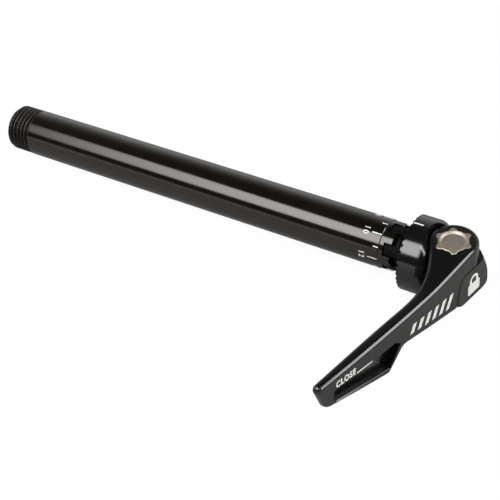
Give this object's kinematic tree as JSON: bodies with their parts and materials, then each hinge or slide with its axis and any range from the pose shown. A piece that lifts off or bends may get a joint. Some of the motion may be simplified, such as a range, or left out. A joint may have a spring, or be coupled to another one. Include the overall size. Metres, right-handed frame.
{
  "type": "bicycle thru axle",
  "caption": "Hollow axle for a bicycle fork, threaded at one end, with an indexed cam head and a curved quick-release lever at the other.",
  "frame": {"origin": "on the axle's axis, at the clamp face of the head", "axes": "+X along the axle from the thread to the head, +Z along the cam shaft towards the lever's eye, and the closed lever points to -Y"},
  "size_m": [0.1692, 0.0749, 0.0228],
  "materials": {
    "tube_black": "gloss black anodised, with white printed dial marks",
    "head_black": "gloss black anodised",
    "lever_black": "satin black anodised over a forged surface",
    "cam_steel": "satin nickel-plated steel",
    "plated_steel": "zinc-plated steel",
    "spring_steel": "black-oxidised spring wire",
    "bearing_plastic": "dark self-lubricating bearing plastic",
    "print_white": "white printed ink of the dial, the pointer and the lever's marks"
  },
  "bodies": {
    "axle": {"axle_tube": "tube_black", "index_ring": "tube_black", "draw_rod": "plated_steel", "adjuster_nut": "plated_steel", "adjuster_washer": "plated_steel", "return_spring": "spring_steel"},
    "head": {"clamp_head": "head_black", "index_sleeve": "bearing_plastic", "upper_bush": "bearing_plastic", "lower_bush": "bearing_plastic", "lever_washer": "bearing_plastic"},
    "lever": {"lever": "lever_black", "cam_shaft": "cam_steel", "retaining_washer": "plated_steel", "retaining_screw": "plated_steel"}
  },
  "joints": [
    {"name": "head_slide", "type": "slide", "parent": "axle", "child": "head", "axis": [1, 0, 0], "range_m": [0, 0.00157], "deforming": ["return_spring"]},
    {"name": "lever_hinge", "type": "hinge", "parent": "head", "child": "lever", "pos_m": [0.0128, 0, 0], "axis": [0, 0, 1], "range_deg": [0, 150]}
  ],
  "couplings": [
    {"joint": "head_slide", "follows": "lever_hinge", "m_per_rad": 0.0006}
  ]
}
